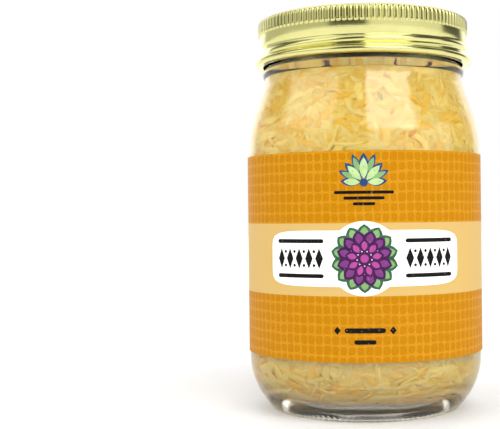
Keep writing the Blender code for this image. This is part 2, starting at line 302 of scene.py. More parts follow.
# Rings of the rosette, from the outside in: petals, shift, start, length, width, outline and face colours
ROSETTE_RINGS = (
    (14, 0.0, 0.0056, 0.0052, 0.0046, DARK_LEAF, LIGHT_LEAF),
    (12, 0.5, 0.0038, 0.0052, 0.0042, DARK_PETAL, PURPLE),
    (9, 0.0, 0.0018, 0.0044, 0.0034, DARK_PETAL, MAGENTA),
)

# The fan's large leaves: length, width and angle from the upright; its small ones: angle and start
FAN_LEAVES = ((0.0066, 0.0028, 1.50), (0.0078, 0.0031, 0.76), (0.0086, 0.0034, 0.0))
FAN_LEAF_START = 0.0008
FAN_LEAF_SCALE = 0.78
FAN_SMALL_LEAF = (0.0062, 0.0022)
FAN_SMALL_LEAVES = ((1.12, 0.0026), (0.38, 0.0034))
FAN_SMALL_SCALE = 0.76
FAN_FACE_SHIFT = 0.0004
FAN_BARS = ((0.0190, 0.0030), (0.0130, 0.0048), (0.0070, 0.0066))

# Camera of the photograph
CAMERA_PLACE = (0.0, -0.3625, 0.0667)
CAMERA_YAW = math.radians(2.5)
CAMERA_ROLL = math.radians(0.6)
CAMERA_LENS = 74.38
CAMERA_SENSOR = 36.0
CAMERA_SHIFT = -0.138
CAMERA_NEAR = 0.01

# Panels of light on the world: name, azimuths towards +X, elevations, strength and soft edge, in degrees
ROOM_LIGHT = 0.10
PANELS = (
    ("left", (-166.0, -36.0), (-12.0, 22.0), 0.52, 4.0),
    ("right", (5.0, 97.0), (-12.0, 22.0), 0.82, 4.0),
    ("back", (140.0, 220.0), (-30.0, 70.0), 0.8, 6.0),
    ("high_left", (-100.0, -34.0), (22.0, 62.0), 1.2, 2.5),
    ("high_right", (4.0, 60.0), (22.0, 62.0), 2.7, 2.5),
    ("rim_left", (-166.0, -134.0), (-5.0, 60.0), 0.4, 2.5),
    ("rim_right", (134.0, 166.0), (-5.0, 60.0), 0.4, 2.5),
    ("top", (-180.0, 180.0), (62.0, 90.0), 1.0, 6.0),
)

# Fill lights: name, strength, and direction in degrees from the camera's side towards +X
FILLS = (("fill_front", 1.7, 4.0), ("fill_left", 2.4, -72.0), ("fill_right", 2.4, 72.0))
FILL_SPREAD = math.radians(60.0)
FILL_RISE = math.radians(3.0)


# Shapes


def arc(centre, radius, start, end, count):
    """Points (r, z) along a round stretch; angles in radians from +r towards +z."""
    points = []
    for i in range(count + 1):
        angle = start + (end - start) * i / count
        points.append((centre[0] + radius * math.cos(angle), centre[1] + radius * math.sin(angle)))
    return points


def smooth_step(low, high, value):
    """0 at low and 1 at high, with a soft start and end."""
    share = min(max((value - low) / (high - low), 0.0), 1.0)
    return share * share * (3.0 - 2.0 * share)


def even_turns(count):
    return [FULL_TURN * i / count for i in range(count)]


def finish_mesh(mesh, sharp_angle=math.radians(50.0)):
    """Faces turned outwards and shaded smooth, apart from sharp edges."""
    shape = bmesh.new()
    shape.from_mesh(mesh)
    bmesh.ops.recalc_face_normals(shape, faces=shape.faces)
    shape.to_mesh(mesh)
    shape.free()
    mesh.shade_smooth()
    mesh.set_sharp_from_angle(angle=sharp_angle)


def make_mesh(name, vertices, faces, colours=None):
    """A finished mesh, with a colour for each vertex where colours are given."""
    mesh = bpy.data.meshes.new(name)
    mesh.from_pydata(vertices, [], faces)
    if colours:
        paint(mesh, colours)
    finish_mesh(mesh)
    return mesh


def paint(mesh, colours):
    """Stores a colour for each vertex, which the materials read as the attribute tint."""
    tint = mesh.color_attributes.new("tint", "FLOAT_COLOR", "POINT")
    tint.data.foreach_set("color", np.array(colours, np.float32).ravel())


def revolve(name, profile, turns, adjust=None):
    """A mesh turned round Z. A point on the axis becomes one vertex, and adjust may move each (r, z)."""
    vertices = []
    rings = []
    for r, z in profile:
        if r < ON_AXIS:
            rings.append([len(vertices)] * len(turns))
            vertices.append((0.0, 0.0, z))
            continue
        rings.append(range(len(vertices), len(vertices) + len(turns)))
        for turn in turns:
            out, up = adjust(turn, r, z) if adjust else (r, z)
            vertices.append((out * math.sin(turn), -out * math.cos(turn), up))
    faces = []
    for low, high in zip(rings, rings[1:]):
        for i in range(len(turns)):
            j = (i + 1) % len(turns)
            faces.append(list(dict.fromkeys((low[i], low[j], high[j], high[i]))))
    return make_mesh(name, vertices, faces)


def add_piece(name, mesh, material, slot, *replaced):
    """Puts a finished mesh in the scene as a piece of the object."""
    piece = bpy.data.objects.new(name, mesh)
    bpy.context.scene.collection.objects.link(piece)
    mesh.materials.append(material)
    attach(piece, "root")
    if replaced:
        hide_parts(*replaced)
    return piece


# Node trees


class Tree:
    """Short calls for building a material's or a world's node tree."""

    def __init__(self, tree):
        self.tree = tree
        self.link = tree.links.new

    def add(self, kind, inputs=None, **settings):
        node = self.tree.nodes.new(kind)
        for key, value in settings.items():
            setattr(node, key, value)
        for key, value in (inputs or {}).items():
            self.plug(value, node.inputs[key])
        return node

    def plug(self, value, socket):
        if isinstance(value, bpy.types.NodeSocket):
            self.link(value, socket)
        else:
            socket.default_value = value

    def math(self, operation, *values, clamp=False):
        node = self.add("ShaderNodeMath", operation=operation, use_clamp=clamp)
        for value, socket in zip(values, node.inputs):
            self.plug(value, socket)
        return node.outputs[0]

    def smooth(self, value, low, high, to_low=0.0, to_high=1.0):
        """A soft step from to_low at low to to_high at high."""
        inputs = {"Value": value, "From Min": low, "From Max": high, "To Min": to_low, "To Max": to_high}
        node = self.add("ShaderNodeMapRange", inputs, interpolation_type="SMOOTHSTEP")
        return node.outputs["Result"]

    def mix(self, factor, first, second, blend="MIX"):
        node = self.add("ShaderNodeMix", data_type="RGBA", blend_type=blend)
        for value, socket in zip((factor, first, second), (node.inputs[0], node.inputs[6], node.inputs[7])):
            self.plug(value, socket)
        return node.outputs[2]

    def noise(self, place, scale, detail=2.0, roughness=0.5, stretch=None):
        if stretch is not None:
            place = self.add("ShaderNodeMapping", {"Vector": place, "Scale": stretch}).outputs[0]
        inputs = {"Vector": place, "Scale": scale, "Detail": detail, "Roughness": roughness}
        return self.add("ShaderNodeTexNoise", inputs).outputs["Fac"]

    def bump(self, height, strength, distance):
        inputs = {"Height": height, "Strength": strength, "Distance": distance}
        return self.add("ShaderNodeBump", inputs).outputs[0]


def new_material(name):
    """An empty material: its tree, its Principled shader and its output."""
    made = bpy.data.materials.new(name)
    made.use_nodes = True
    tree = Tree(made.node_tree)
    shader = made.node_tree.nodes["Principled BSDF"]
    output = made.node_tree.nodes["Material Output"]
    return made, tree, shader, output


def set_inputs(shader, values):
    for key, value in values.items():
        shader.inputs[key].default_value = value


def object_place(tree):
    return tree.add("ShaderNodeTexCoord").outputs["Object"]


# Materials


def let_lamps_through(tree, shader, output, tint):
    """Light reaches what is inside: for a shadow ray the surface is only a tinted pane."""
    ray = tree.add("ShaderNodeLightPath").outputs["Is Shadow Ray"]
    pane = tree.add("ShaderNodeBsdfTransparent", {"Color": tint})
    mixed = tree.add("ShaderNodeMixShader", {0: ray})
    tree.link(shader.outputs[0], mixed.inputs[1])
    tree.link(pane.outputs[0], mixed.inputs[2])
    tree.link(mixed.outputs[0], output.inputs["Surface"])


def glass_material():
    """Clear glass with the slow waves of a moulded wall."""
    made, tree, shader, output = new_material("clear_glass")
    set_inputs(shader, {"Base Color": GLASS_COLOUR, "IOR": GLASS_INDEX, **CLEAR_FINISH})
    wave = tree.noise(object_place(tree), GLASS_WAVES, detail=1.0, roughness=0.4, stretch=GLASS_STRETCH)
    tree.link(tree.bump(wave, strength=0.12, distance=0.002), shader.inputs["Normal"])
    let_lamps_through(tree, shader, output, GLASS_SHADOW)
    return made


def brine_material():
    """Amber liquid: the deeper the look, the stronger the colour."""
    made, tree, shader, output = new_material("brine")
    set_inputs(shader, {"Base Color": CLEAR, "IOR": BRINE_INDEX, **CLEAR_FINISH})
    absorb = tree.add("ShaderNodeVolumeAbsorption", {"Color": BRINE_COLOUR, "Density": BRINE_DENSITY})
    tree.link(absorb.outputs[0], output.inputs["Volume"])
    let_lamps_through(tree, shader, output, CLEAR)
    return made


def cabbage_material():
    """Moist, slightly clear strips; each strip's own colour is in the mesh as an attribute."""
    made, tree, shader, _ = new_material("cabbage")
    place = object_place(tree)
    tint = tree.add("ShaderNodeAttribute", attribute_name="tint").outputs["Color"]
    blotch = tree.noise(place, CABBAGE_BLOTCHES, detail=3.0, roughness=0.55)
    fibre = tree.noise(place, CABBAGE_FIBRES, roughness=0.6)
    darker = tree.mix(tree.smooth(blotch, 0.4, 0.75, to_high=0.35), tint, BLOTCH, "MULTIPLY")
    colour = tree.mix(tree.smooth(fibre, 0.4, 0.8, to_high=0.25), darker, FIBRE)
    tree.link(colour, shader.inputs["Base Color"])
    set_inputs(shader, {
        "Roughness": 0.45,
        "Specular IOR Level": 0.15,
        "Subsurface Weight": 0.2,
        "Subsurface Radius": (1.0, 0.7, 0.35),
        "Subsurface Scale": 0.0008,
    })
    tree.link(tree.bump(fibre, strength=0.3, distance=0.0003), shader.inputs["Normal"])
    return made


def lid_material():
    """Gold lacquered sheet: brushed, a little cloudy and finely scratched."""
    made, tree, shader, _ = new_material("gold_lacquer")
    place = object_place(tree)
    brushed = tree.noise(place, LID_BRUSHING, detail=3.0, roughness=0.6, stretch=LID_BRUSHING_STRETCH)
    scratches = tree.noise(place, LID_SCRATCHES, stretch=LID_SCRATCHES_STRETCH)
    cloud = tree.noise(place, LID_CLOUDS)
    colour = tree.mix(tree.smooth(cloud, 0.3, 0.75), LID_DARK, LID_LIGHT)
    tree.link(colour, shader.inputs["Base Color"])
    tree.link(tree.smooth(brushed, 0.3, 0.75, *LID_ROUGHNESS), shader.inputs["Roughness"])
    set_inputs(shader, {"Metallic": 1.0})
    height = tree.math("ADD", tree.math("MULTIPLY", scratches, 0.5), brushed)
    tree.link(tree.bump(height, strength=0.06, distance=0.0002), shader.inputs["Normal"])
    return made


def cell_grid(tree, place, across, z):
    """How far a place lies inside one of the rounded, slightly uneven cells of the orange bands."""
    uneven = tree.math("SUBTRACT", tree.noise(place, CELL_WAVES), 0.5)
    wobble = tree.math("MULTIPLY", uneven, CELL_WOBBLE)
    column = tree.math("DIVIDE", tree.math("ADD", across, wobble), CELL_WIDTH)
    row = tree.math("DIVIDE", tree.math("ADD", z, wobble), CELL_HEIGHT)
    cell = tree.add("ShaderNodeCombineXYZ", {0: tree.math("FLOOR", column), 1: tree.math("FLOOR", row)})
    chance = tree.add("ShaderNodeTexWhiteNoise", {"Vector": cell.outputs[0]}, noise_dimensions="3D")
    sideways = tree.math("ABSOLUTE", tree.math("SUBTRACT", tree.math("FRACT", column), 0.5))
    upwards = tree.math("ABSOLUTE", tree.math("SUBTRACT", tree.math("FRACT", row), 0.5))
    powers = [tree.math("POWER", distance, CELL_POWER) for distance in (sideways, upwards)]
    reach = tree.math("POWER", tree.math("ADD", *powers), 1.0 / CELL_POWER)
    size = tree.smooth(chance.outputs["Value"], 0.0, 1.0, *CELL_REACHES)
    return tree.smooth(tree.math("SUBTRACT", size, reach), *CELL_EDGE)


def paper_material():
    """The wrap label: two orange bands of rounded cells with a cream band between them."""
    made, tree, shader, _ = new_material("label_paper")
    place = object_place(tree)
    x, y, z = tree.add("ShaderNodeSeparateXYZ", {"Vector": place}).outputs
    turn = tree.math("ARCTAN2", x, tree.math("MULTIPLY", y, -1.0))
    across = tree.math("MULTIPLY", turn, LABEL_RADIUS)
    inside = cell_grid(tree, place, across, z)
    grain = tree.smooth(tree.noise(place, PAPER_GRAIN, roughness=0.7), 0.3, 0.7)
    cell_colour = tree.mix(grain, CELL_DARK, CELL_LIGHT)
    line_colour = tree.mix(grain, LINE_DARK, LINE_LIGHT)
    orange = tree.mix(inside, line_colour, cell_colour)
    above = tree.smooth(z, BAND_HIGH - BAND_BLUR, BAND_HIGH + BAND_BLUR)
    below = tree.smooth(z, BAND_LOW - BAND_BLUR, BAND_LOW + BAND_BLUR, 1.0, 0.0)
    colour = tree.mix(tree.math("ADD", above, below, clamp=True), CREAM, orange)
    tree.link(colour, shader.inputs["Base Color"])
    set_inputs(shader, {"Roughness": 0.55, **PRINT_FINISH})
    fibre = tree.noise(place, PAPER_FIBRES, roughness=0.6)
    tree.link(tree.bump(fibre, strength=0.08, distance=0.0001), shader.inputs["Normal"])
    return made


def ink_material():
    """Mottled, slightly worn ink in the colour of each ornament."""
    made, tree, shader, _ = new_material("label_ink")
    place = object_place(tree)
    tint = tree.add("ShaderNodeAttribute", attribute_name="tint").outputs["Color"]
    worn = tree.noise(place, INK_WEAR, detail=3.0, roughness=0.7)
    mottled = tree.noise(place, INK_MOTTLE, roughness=0.6)
    shaded = tree.mix(tree.smooth(mottled, 0.35, 0.7, to_high=0.35), tint, INK_SHADE, "MULTIPLY")
    colour = tree.mix(tree.smooth(worn, 0.62, 0.78, to_high=0.35), shaded, INK_WORN)
    tree.link(colour, shader.inputs["Base Color"])
    set_inputs(shader, {"Roughness": 0.5, **PRINT_FINISH})
    return made


def white_material():
    """White paper with a fine grain."""
    made, tree, shader, _ = new_material("label_white")
    grain = tree.noise(object_place(tree), PAPER_GRAIN, roughness=0.6)
    colour = tree.mix(tree.smooth(grain, 0.3, 0.7), WHITE_PAPER, WHITE_GRAIN)
    tree.link(colour, shader.inputs["Base Color"])
    set_inputs(shader, {"Roughness": 0.5, **PRINT_FINISH})
    return made


# Glass jar


def shoulder_profile(offset, top, cells):
    """The shoulder from the neck down to the body, moved inwards by offset."""
    slope = SHOULDER_SLOPE
    round_centre = (BODY_RADIUS - SHOULDER_RADIUS, SHOULDER_START)
    round_end = arc(round_centre, SHOULDER_RADIUS, slope, slope, 1)[0]
    fillet_centre_r = NECK_RADIUS + NECK_FILLET
    fillet_r = fillet_centre_r - NECK_FILLET * math.cos(slope)
    fillet_z = round_end[1] + (round_end[0] - fillet_r) / math.tan(slope)
    fillet_centre = (fillet_centre_r, fillet_z + NECK_FILLET * math.sin(slope))
    points = [(NECK_RADIUS - offset, top)]
    points += arc(fillet_centre, NECK_FILLET + offset, math.pi, math.pi + slope, cells - 1)
    points += arc(round_centre, SHOULDER_RADIUS - offset, slope, 0.0, cells)
    return points


def inner_profile(offset=0.0, top=RIM_Z, cells=12):
    """The inner wall from the mouth down to the floor, moved inwards by offset."""
    heel_centre = (BODY_RADIUS - WALL - INNER_HEEL_RADIUS, FLOOR_Z + INNER_HEEL_RADIUS)
    points = [(MOUTH_RADIUS - offset, top)] if top > BEAD_Z + BEAD_HALF_HEIGHT else []
    points += shoulder_profile(WALL + offset, min(top, BEAD_Z), cells)
    points += arc(heel_centre, INNER_HEEL_RADIUS - offset, 0.0, -INNER_HEEL_TURN, cells)
    points.append((0.0, FLOOR_Z + FLOOR_CROWN + offset))
    return points


def outer_heel():
    """The outer heel from the body down to the edge that the jar stands on."""
    centre = (BODY_RADIUS - HEEL_RADIUS, HEEL_TOP)
    reach = HEEL_RADIUS - HEEL_EDGE_RADIUS
    end = -math.asin((HEEL_TOP - HEEL_EDGE_RADIUS) / reach)
    edge_centre = arc(centre, reach, end, end, 1)[0]
    heel = arc(centre, HEEL_RADIUS, 0.0, end, 24)
    return heel + arc(edge_centre, HEEL_EDGE_RADIUS, end, -math.pi / 2, 8)[1:]


def stipple(turn, r, z):
    """Small even notches round the edge that the jar stands on."""
    if z > STIPPLE_TOP or r < BEARING_INNER_RADIUS:
        return r, z
    notch = 0.5 + 0.5 * math.cos(STIPPLE_COUNT * turn)
    depth = STIPPLE_DEPTH * notch * smooth_step(STIPPLE_TOP, 0.0, z) * smooth_step(0.0, STIPPLE_FOOT, z)
    return r - depth, z


def glass_jar():
    rim_inner = (MOUTH_RADIUS + RIM_ROUND, RIM_Z - RIM_ROUND)
    rim_outer = (FINISH_RADIUS - RIM_ROUND, RIM_Z - RIM_ROUND)
    profile = inner_profile(top=RIM_Z - RIM_ROUND)[::-1]
    profile += arc(rim_inner, RIM_ROUND, math.pi, math.pi / 2, 5)[1:]
    profile += arc(rim_outer, RIM_ROUND, math.pi / 2, 0.0, 5)
    profile.append((FINISH_RADIUS, BEAD_Z + BEAD_HALF_HEIGHT))
    for r, z in arc((0.0, 0.0), 1.0, math.pi / 2, -math.pi / 2, 12):
        profile.append((NECK_RADIUS + (BEAD_RADIUS - NECK_RADIUS) * r, BEAD_Z + BEAD_HALF_HEIGHT * z))
    profile += shoulder_profile(0.0, BEAD_Z - BEAD_HALF_HEIGHT, 14)[1:]
    profile += outer_heel()
    profile.append((BEARING_INNER_RADIUS, 0.0))
    profile.append((PUSH_UP_RADIUS, PUSH_UP_EDGE_HEIGHT))
    profile.append((0.0, PUSH_UP_HEIGHT))
    mesh = revolve("glass_jar", profile, even_turns(STIPPLE_COUNT * STIPPLE_STEPS), stipple)
    return add_piece("glass_jar", mesh, glass_material(), "glass", "jar")


# Contents


class Wall:
    """The inner wall as a line measured from the floor's centre, with the direction that points inwards."""

    def __init__(self):
        points = np.array(inner_profile(cells=24)[::-1])
        steps = np.diff(points, axis=0)
        lengths = np.hypot(steps[:, 0], steps[:, 1])
        along = steps / lengths[:, None]
        ends = np.vstack([along[:1], (along[1:] + along[:-1]) / 2, along[-1:]])
        ends /= np.linalg.norm(ends, axis=1)[:, None]
        self.length = np.concatenate([[0.0], np.cumsum(lengths)])
        self.points = points
        self.inward = np.column_stack([-ends[:, 1], ends[:, 0]])

    def at_height(self, z):
        """Length along the wall at a height above the floor's edge."""
        return float(np.interp(z, self.points[1:, 1], self.length[1:]))

    def place(self, length, depth):
        """(r, z) of a point at a depth under the glass."""
        r = np.interp(length, self.length, self.points[:, 0])
        z = np.interp(length, self.length, self.points[:, 1])
        inward_r = np.interp(length, self.length, self.inward[:, 0])
        inward_z = np.interp(length, self.length, self.inward[:, 1])
        return r + depth * inward_r, z + depth * inward_z


def brine():
    """The liquid, which reaches just into the glass."""
    profile = [(0.0, FILL_Z)] + inner_profile(-BRINE_OVERLAP, FILL_Z, 16)
    return add_piece("brine", revolve("brine", profile, even_turns(JAR_STEPS)), brine_material(), "cabbage")


def bent_line(draw, heading, length):
    """A strip's middle line on the unrolled wall, from its middle out: (side, up, heading) of each point."""
    bend = draw.uniform(*SHRED_BENDS)
    swing = draw.uniform(*SHRED_SWINGS)
    phase = draw.uniform(0.0, FULL_TURN)
    step = length / SHRED_CELLS
    line = []
    side, up = 0.0, 0.0
    for i in range(SHRED_CELLS + 1):
        share = i / SHRED_CELLS - 0.5
        angle = heading + bend * share + swing * math.sin(phase + SHRED_WAVE * share)
        if i > 0:
            side += step * math.cos(angle)
            up += step * math.sin(angle)
        line.append((side, up, angle))
    middle_side, middle_up, _ = line[SHRED_CELLS // 2]
    return [(side - middle_side, up - middle_up, angle) for side, up, angle in line]


def shred(wall, draw, turn, middle, heading, length, width, thickness, depth):
    """The vertices of one strip: a flat section swept along a bent line on the inner wall."""
    line = bent_line(draw, heading, length)
    dip = draw.uniform(*SHRED_DIPS)
    tilt = draw.uniform(*SHRED_TILTS)
    roll = draw.gauss(0.0, SHRED_ROLL)
    twist = draw.uniform(*SHRED_TWISTS)
    vertices = []
    for i, (line_side, line_up, angle) in enumerate(line):
        share = i / SHRED_CELLS - 0.5
        taper = max(SHRED_POINT, 1.0 - abs(2.0 * share) ** SHRED_POINT_POWER)
        turned = roll + twist * share
        reach = abs(math.sin(turned)) * width / 2 + thickness / 2
        under = max(GLASS_CLEARANCE, depth + 4.0 * dip * share**2 + 2.0 * tilt * share) + reach
        for across, thick in SHRED_SECTION:
            flat = (across * math.cos(turned) * width - thick * math.sin(turned) * thickness) * taper
            lift = (across * math.sin(turned) * width + thick * math.cos(turned) * thickness) * taper
            side = line_side - flat * math.sin(angle)
            up = line_up + flat * math.cos(angle)
            r, z = wall.place(middle + up, under + lift)
            r = max(r, LEAST_RADIUS)
            z = min(z, FILL_Z - FILL_CLEARANCE)
            place = turn + side / r
            vertices.append((r * math.sin(place), -r * math.cos(place), z))
    return vertices


def shred_faces(first):
    """The faces of one strip whose vertices start at first."""
    section = len(SHRED_SECTION)
    faces = []
    for cell in range(SHRED_CELLS):
        base = first + cell * section
        for k in range(section):
            n = (k + 1) % section
            faces.append((base + k, base + n, base + section + n, base + section + k))
    last = first + SHRED_CELLS * section
    faces.append(tuple(range(first + section - 1, first - 1, -1)))
    faces.append(tuple(range(last, last + section)))
    return faces


def shred_kind(i, length, width):
    """The colour set for strip i, its length and its width. Most strips have no colour set."""
    if i % CARROT_EVERY == CARROT_FIRST:
        return CARROT, *CARROT_SIZE
    if i % GREEN_EVERY == GREEN_FIRST:
        return GREEN, *GREEN_SIZE
    if i % AMBER_EVERY == AMBER_FIRST:
        return AMBER, length, width
    return None, length, width


def shred_colour(draw, set_colour):
    """A strip's colour: the one set for it, or one between pale and golden."""
    if set_colour is not None:
        return set_colour
    share = draw.random() ** GOLDEN_POWER
    light = draw.uniform(*STRIP_LIGHTS)
    return tuple(light * (a + (b - a) * share) for a, b in zip(PALE, GOLDEN))


def shreds(name, wall, material, seed, bands):
    """Strips in bands of the wall: (count, start, end, middle turn, spread of turns)."""
    draw = random.Random(seed)
    vertices, faces, colours = [], [], []
    for count, start, end, centre, spread in bands:
        for i in range(count):
            middle = start + (end - start) * draw.random()
            turn = centre + spread * ((i * GOLDEN_SHARE) % 1.0 - 0.5)
            heading = draw.choice((0.0, math.pi)) + draw.gauss(0.0, SHRED_TURNING)
            length = draw.uniform(*SHRED_LENGTHS)
            width = draw.uniform(*SHRED_WIDTHS)
            thickness = draw.uniform(*SHRED_THICKNESSES)
            layer = i % SHRED_LAYERS + draw.uniform(0.0, SHRED_LAYER_SPREAD)
            depth = LEAST_DEPTH + SHRED_LAYER_DEPTH * layer
            set_colour, length, width = shred_kind(i, length, width)
            faces += shred_faces(len(vertices))
            strip = shred(wall, draw, turn, middle, heading, length, width, thickness, depth)
            vertices += strip
            colours += [(*shred_colour(draw, set_colour), 1.0)] * len(strip)
    return add_piece(name, make_mesh(name, vertices, faces, colours), material, "cabbage", "sauerkraut")


def all_shreds(wall, material):
    """The strips that show: above and below the label, in its opening at the back, and on the floor."""
    low, high = wall.at_height(LABEL_BOTTOM), wall.at_height(LABEL_TOP)
    top = wall.at_height(FILL_Z)
    upper = (
        (UPPER_SHREDS, high - BAND_OVERLAP, top - TOP_GAP, 0.0, FULL_TURN),
        (BACK_SHREDS, low, high, math.pi, BACK_SPREAD),
    )
    lower = (
        (LOWER_SHREDS, LOWER_START, low + BAND_OVERLAP, 0.0, FULL_TURN),
        (FLOOR_SHREDS, *FLOOR_STRETCH, 0.0, FULL_TURN),
    )
    shreds("cabbage_shreds_upper", wall, material, SHRED_SEED, upper)
    shreds("cabbage_shreds_lower", wall, material, SHRED_SEED + 2, lower)


def cabbage_core(wall, material):
    """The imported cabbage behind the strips, with an uneven surface."""
    draw = random.Random(SHRED_SEED + 1)
    waves = []
    for _ in range(CORE_WAVES):
        count = draw.randint(*CORE_WAVE_TURNS)
        rise = draw.uniform(*CORE_WAVE_RISES)
        waves.append((count, rise, draw.uniform(0.0, FULL_TURN)))

    def uneven(turn, r, z):
        bump = sum(math.sin(count * turn + rise * z + phase) for count, rise, phase in waves)
        return r + CORE_UNEVEN * bump * min(1.0, r / CORE_CALM_RADIUS), z

    top = FILL_Z - CORE_TOP_DROP
    profile = [(0.0, top)]
    stretch = wall.at_height(top)
    for i in range(CORE_ROWS):
        r, z = wall.place(stretch * (1.0 - i / CORE_ROWS), CORE_DEPTH)
        if r > CORE_LEAST_RADIUS and z <= top:
            profile.append((float(r), float(z)))
    profile.append((0.0, profile[-1][1]))
    mesh = revolve("cabbage_core", profile, even_turns(CORE_STEPS), uneven)
    paint(mesh, [(*GOLDEN, 1.0)] * len(mesh.vertices))
    return add_piece("cabbage_core", mesh, material, "cabbage", "sauerkraut")


# Lid


def finger_turns():
    pitch = FULL_TURN / FINGER_COUNT
    return [pitch * (i + share) for i in range(FINGER_COUNT) for share in FINGER_COLUMNS]


def finger_height(turn, z):
    """How far the knurled band stands out: rounded fingers, parted by narrow grooves."""
    pitch = FULL_TURN / FINGER_COUNT
    side = abs((turn / pitch + 0.5) % 1.0 - 0.5) * pitch * FINGER_RADIUS
    middle = FINGER_BOTTOM + FINGER_HALF_WIDTH
    away = side if z > middle else math.hypot(side, z - middle)
    return FINGER_HEIGHT * smooth_step(FINGER_HALF_WIDTH, FINGER_HALF_WIDTH - FINGER_EDGE, away)


def thread_height(turn, z):
    """How far the rolled thread stands out at a place on the waist."""
    turn = (turn - THREAD_START) % FULL_TURN + THREAD_START
    across = (z - THREAD_Z - THREAD_PITCH * turn / FULL_TURN) / THREAD_HALF_WIDTH
    if abs(across) >= 1.0:
        return 0.0
    ends = smooth_step(THREAD_START, THREAD_START + THREAD_FADE, turn)
    ends *= smooth_step(THREAD_END, THREAD_END - THREAD_FADE, turn)
    return THREAD_PROUD * ends * math.cos(across * math.pi / 2) ** THREAD_SHARPNESS


def lid_adjust(turn, r, z):
    """Moves a point of the turned lid out to the fingers or to the thread."""
    if r < WAIST_RADIUS - 4 * BEND:
        return r, z
    if z >= FINGER_BOTTOM - BEND and r > BAND_RADIUS - 6 * BEND:
        share = smooth_step(LID_HIGH.z, LID_HIGH.z - LID_EDGE_ROUND, z)
        return r + finger_height(turn, z) * share, z
    if WAIST_BOTTOM - 10 * BEND < z < WAIST_TOP + 16 * BEND:
        return r + thread_height(turn, z), z
    return r, z


def lid_underside():
    """The sheet's inner face, from the axis out and down to the curl."""
    top = LID_HIGH.z
    roof = top - PANEL_DROP - LID_SHEET
    ring_roof = top - LID_SHEET
    inside_r = WAIST_RADIUS - LID_SHEET
    step = PANEL_RADIUS + PANEL_STEP
    points = [(0.0, roof), (PANEL_RADIUS, roof), (step, ring_roof), (inside_r - LID_SHEET, ring_roof)]
    return points + [(inside_r, ring_roof - LID_EDGE_ROUND), (inside_r, CURL_Z - CURL_HALF_HEIGHT)]


def lid_side():
    """The sheet's outer face from the curl up to the top of the knurled band."""
    curl_centre = (CURL_RADIUS - CURL_HALF_HEIGHT, CURL_Z)
    points = arc(curl_centre, CURL_HALF_HEIGHT, -math.pi / 2, CURL_END, 9)
    points.append((WAIST_RADIUS + 6 * BEND, CURL_Z + 10.5 * BEND))
    points.append((WAIST_RADIUS + 2 * BEND, CURL_Z + 12 * BEND))
    start = CURL_Z + 15 * BEND
    for i in range(WAIST_CELLS + 1):
        points.append((WAIST_RADIUS, start + (WAIST_TOP - start) * i / WAIST_CELLS))
    points += [(WAIST_RADIUS + BEND, WAIST_TOP + 2 * BEND), (BAND_RADIUS - BEND, BAND_BOTTOM - BEND)]
    points += [(BAND_RADIUS, BAND_BOTTOM + BEND), (BAND_RADIUS, FINGER_BOTTOM - 2 * BEND)]
    return points + [(BAND_RADIUS, FINGER_BOTTOM + rise) for rise in FINGER_ROWS]


def lid_top():
    """The sheet's outer face from the rounded edge over the ring to the sunk panel."""
    top = LID_HIGH.z
    panel_z = top - PANEL_DROP
    step = PANEL_RADIUS + PANEL_STEP
    edge_centre = (BAND_RADIUS - LID_EDGE_ROUND, top - LID_EDGE_ROUND)
    points = arc(edge_centre, LID_EDGE_ROUND, 0.0, math.pi / 2, 6)
    points += [(step + 4 * BEND, top), (step, top - BEND)]
    points += [(PANEL_RADIUS + 2 * BEND, panel_z + BEND), (PANEL_RADIUS - 4 * BEND, panel_z)]
    return points + [(0.0, panel_z)]


def screw_lid():
    mesh = revolve("lid_shell", lid_underside() + lid_side() + lid_top(), finger_turns(), lid_adjust)
    return add_piece("lid_shell", mesh, lid_material(), "lid_metal", "lid")


# Label


def wrap_label():
    """The paper strip: a closed thin sheet with an opening at the back."""
    inner, outer = LABEL_RADIUS - LABEL_THICKNESS, LABEL_RADIUS
    half = math.pi - LABEL_OPENING / 2
    profile = [(inner, LABEL_BOTTOM), (outer, LABEL_BOTTOM), (outer, LABEL_TOP), (inner, LABEL_TOP)]
    vertices, faces = [], []
    for i in range(LABEL_STEPS + 1):
        turn = -half + 2.0 * half * i / LABEL_STEPS
        vertices += [(r * math.sin(turn), -r * math.cos(turn), z) for r, z in profile]
    for i in range(LABEL_STEPS):
        for k in range(4):
            n = (k + 1) % 4
            faces.append((4 * i + k, 4 * i + n, 4 * i + 4 + n, 4 * i + 4 + k))
    faces += [(3, 2, 1, 0), tuple(4 * LABEL_STEPS + k for k in range(4))]
    mesh = make_mesh("label_sheet", vertices, faces)
    return add_piece("label_sheet", mesh, paper_material(), "label_paper", "label")


# Print on the label: flat outlines in (across, up), each with a colour and a layer over the paper


def placed(outline, centre=(0.0, 0.0), angle=0.0, out=0.0, scale=1.0):
    """An outline scaled, moved out along its own axis, turned and moved to a centre."""
    points = []
    for u, v in outline:
        u, v = u * scale, v * scale + out
        turned_u = u * math.cos(angle) + v * math.sin(angle)
        turned_v = v * math.cos(angle) - u * math.sin(angle)
        points.append((centre[0] + turned_u, centre[1] + turned_v))
    return points


def leaf(length, width, count=7):
    """A pointed leaf that stands on its stalk's end."""
    side = []
    for i in range(1, count):
        side.append((math.sin(math.pi * i / count) ** LEAF_POWER * width / 2, length * i / count))
    return [(0.0, 0.0)] + side + [(0.0, length)] + [(-u, v) for u, v in reversed(side)]


def disc(radius, count=28):
    return [(radius * math.sin(turn), radius * math.cos(turn)) for turn in even_turns(count)]


def bar(width, height, count=5):
    """A bar with round ends."""
    half, end = width / 2 - height / 2, height / 2
    right = [(half + r, z) for r, z in arc((0.0, 0.0), end, math.pi / 2, -math.pi / 2, count)]
    return right + [(-u, -v) for u, v in right]


def diamond(width, height):
    return [(0.0, height / 2), (width / 2, 0.0), (0.0, -height / 2), (-width / 2, 0.0)]


